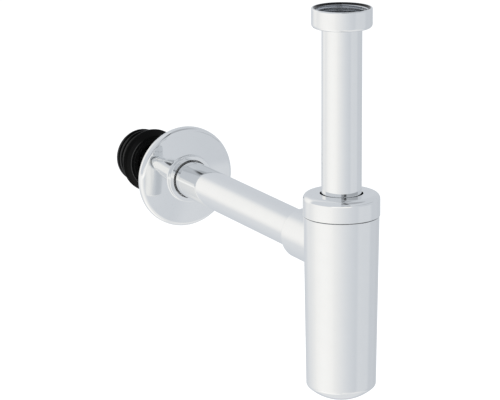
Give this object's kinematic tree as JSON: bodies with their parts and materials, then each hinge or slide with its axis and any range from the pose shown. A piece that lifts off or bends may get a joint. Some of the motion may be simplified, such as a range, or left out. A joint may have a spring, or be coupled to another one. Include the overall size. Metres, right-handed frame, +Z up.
{
  "type": "basin trap",
  "caption": "Chrome bottle trap with a threaded inlet nut, a screw cap, a straight outlet pipe, a wall rosette and a rubber wall seal.",
  "frame": {"origin": "centre of the inlet thread's mouth, where the thread meets the bevel of the nut's rim", "axes": "+Z up the inlet pipe, +Y along the outlet pipe towards the wall, +X to the right seen from the front"},
  "size_m": [0.0886, 0.4138, 0.319],
  "materials": {
    "chrome": "polished",
    "rubber": "satin",
    "slip_plastic": "matte"
  },
  "bodies": {
    "inlet_nut": {"inlet_union_nut": "chrome"},
    "inlet_ring": {"inlet_slip_ring": "slip_plastic"},
    "inlet_tube": {"inlet_pipe": "chrome", "inlet_gasket": "rubber"},
    "tube_seal": {"pipe_seal": "rubber"},
    "bottle": {"bottle_body": "chrome", "outlet_oring_inner": "rubber", "outlet_oring_outer": "rubber"},
    "cap_ring": {"cap_slip_ring": "slip_plastic"},
    "cap": {"bottle_cap": "chrome"},
    "wall_plug": {"wall_seal": "rubber"},
    "outlet_tube": {"outlet_pipe": "chrome"},
    "rosette_ring": {"rosette_grip_ring": "rubber"},
    "rosette": {"wall_rosette": "chrome"}
  },
  "joints": [
    {"name": "nut_slide", "type": "slide", "parent": "inlet_nut", "child": "inlet_ring", "axis": [0, 0, 1], "range_m": [0, 0.1]},
    {"name": "nut_spin", "type": "hinge", "parent": "inlet_ring", "child": "inlet_tube", "pos_m": [0, 0, -0.01], "axis": [0, 0, 1], "continuous": true},
    {"name": "height_slide", "type": "slide", "parent": "inlet_tube", "child": "tube_seal", "axis": [0, 0, 1], "range_m": [-0.02, 0.015]},
    {"name": "bottle_swivel", "type": "hinge", "parent": "tube_seal", "child": "bottle", "pos_m": [0, 0, -0.156], "axis": [0, 0, 1], "continuous": true},
    {"name": "cap_lift", "type": "slide", "parent": "bottle", "child": "cap_ring", "axis": [0, 0, 1], "range_m": [0, 0.0101]},
    {"name": "cap_turn", "type": "hinge", "parent": "cap_ring", "child": "cap", "pos_m": [0, 0, -0.152], "axis": [0, 0, 1], "range_deg": [0, 1800]},
    {"name": "outlet_slide", "type": "slide", "parent": "bottle", "child": "wall_plug", "axis": [0, 1, 0], "range_m": [-0.005, 0.01]},
    {"name": "outlet_turn", "type": "hinge", "parent": "wall_plug", "child": "outlet_tube", "pos_m": [0, 0.2, -0.1952], "axis": [0, 1, 0], "continuous": true},
    {"name": "rosette_slide", "type": "slide", "parent": "outlet_tube", "child": "rosette_ring", "axis": [0, 1, 0], "range_m": [-0.195, 0.055]},
    {"name": "rosette_turn", "type": "hinge", "parent": "rosette_ring", "child": "rosette", "pos_m": [0, 0.28, -0.1952], "axis": [0, 1, 0], "continuous": true}
  ],
  "couplings": [
    {"joint": "cap_lift", "follows": "cap_turn", "m_per_rad": 0.00031831}
  ]
}
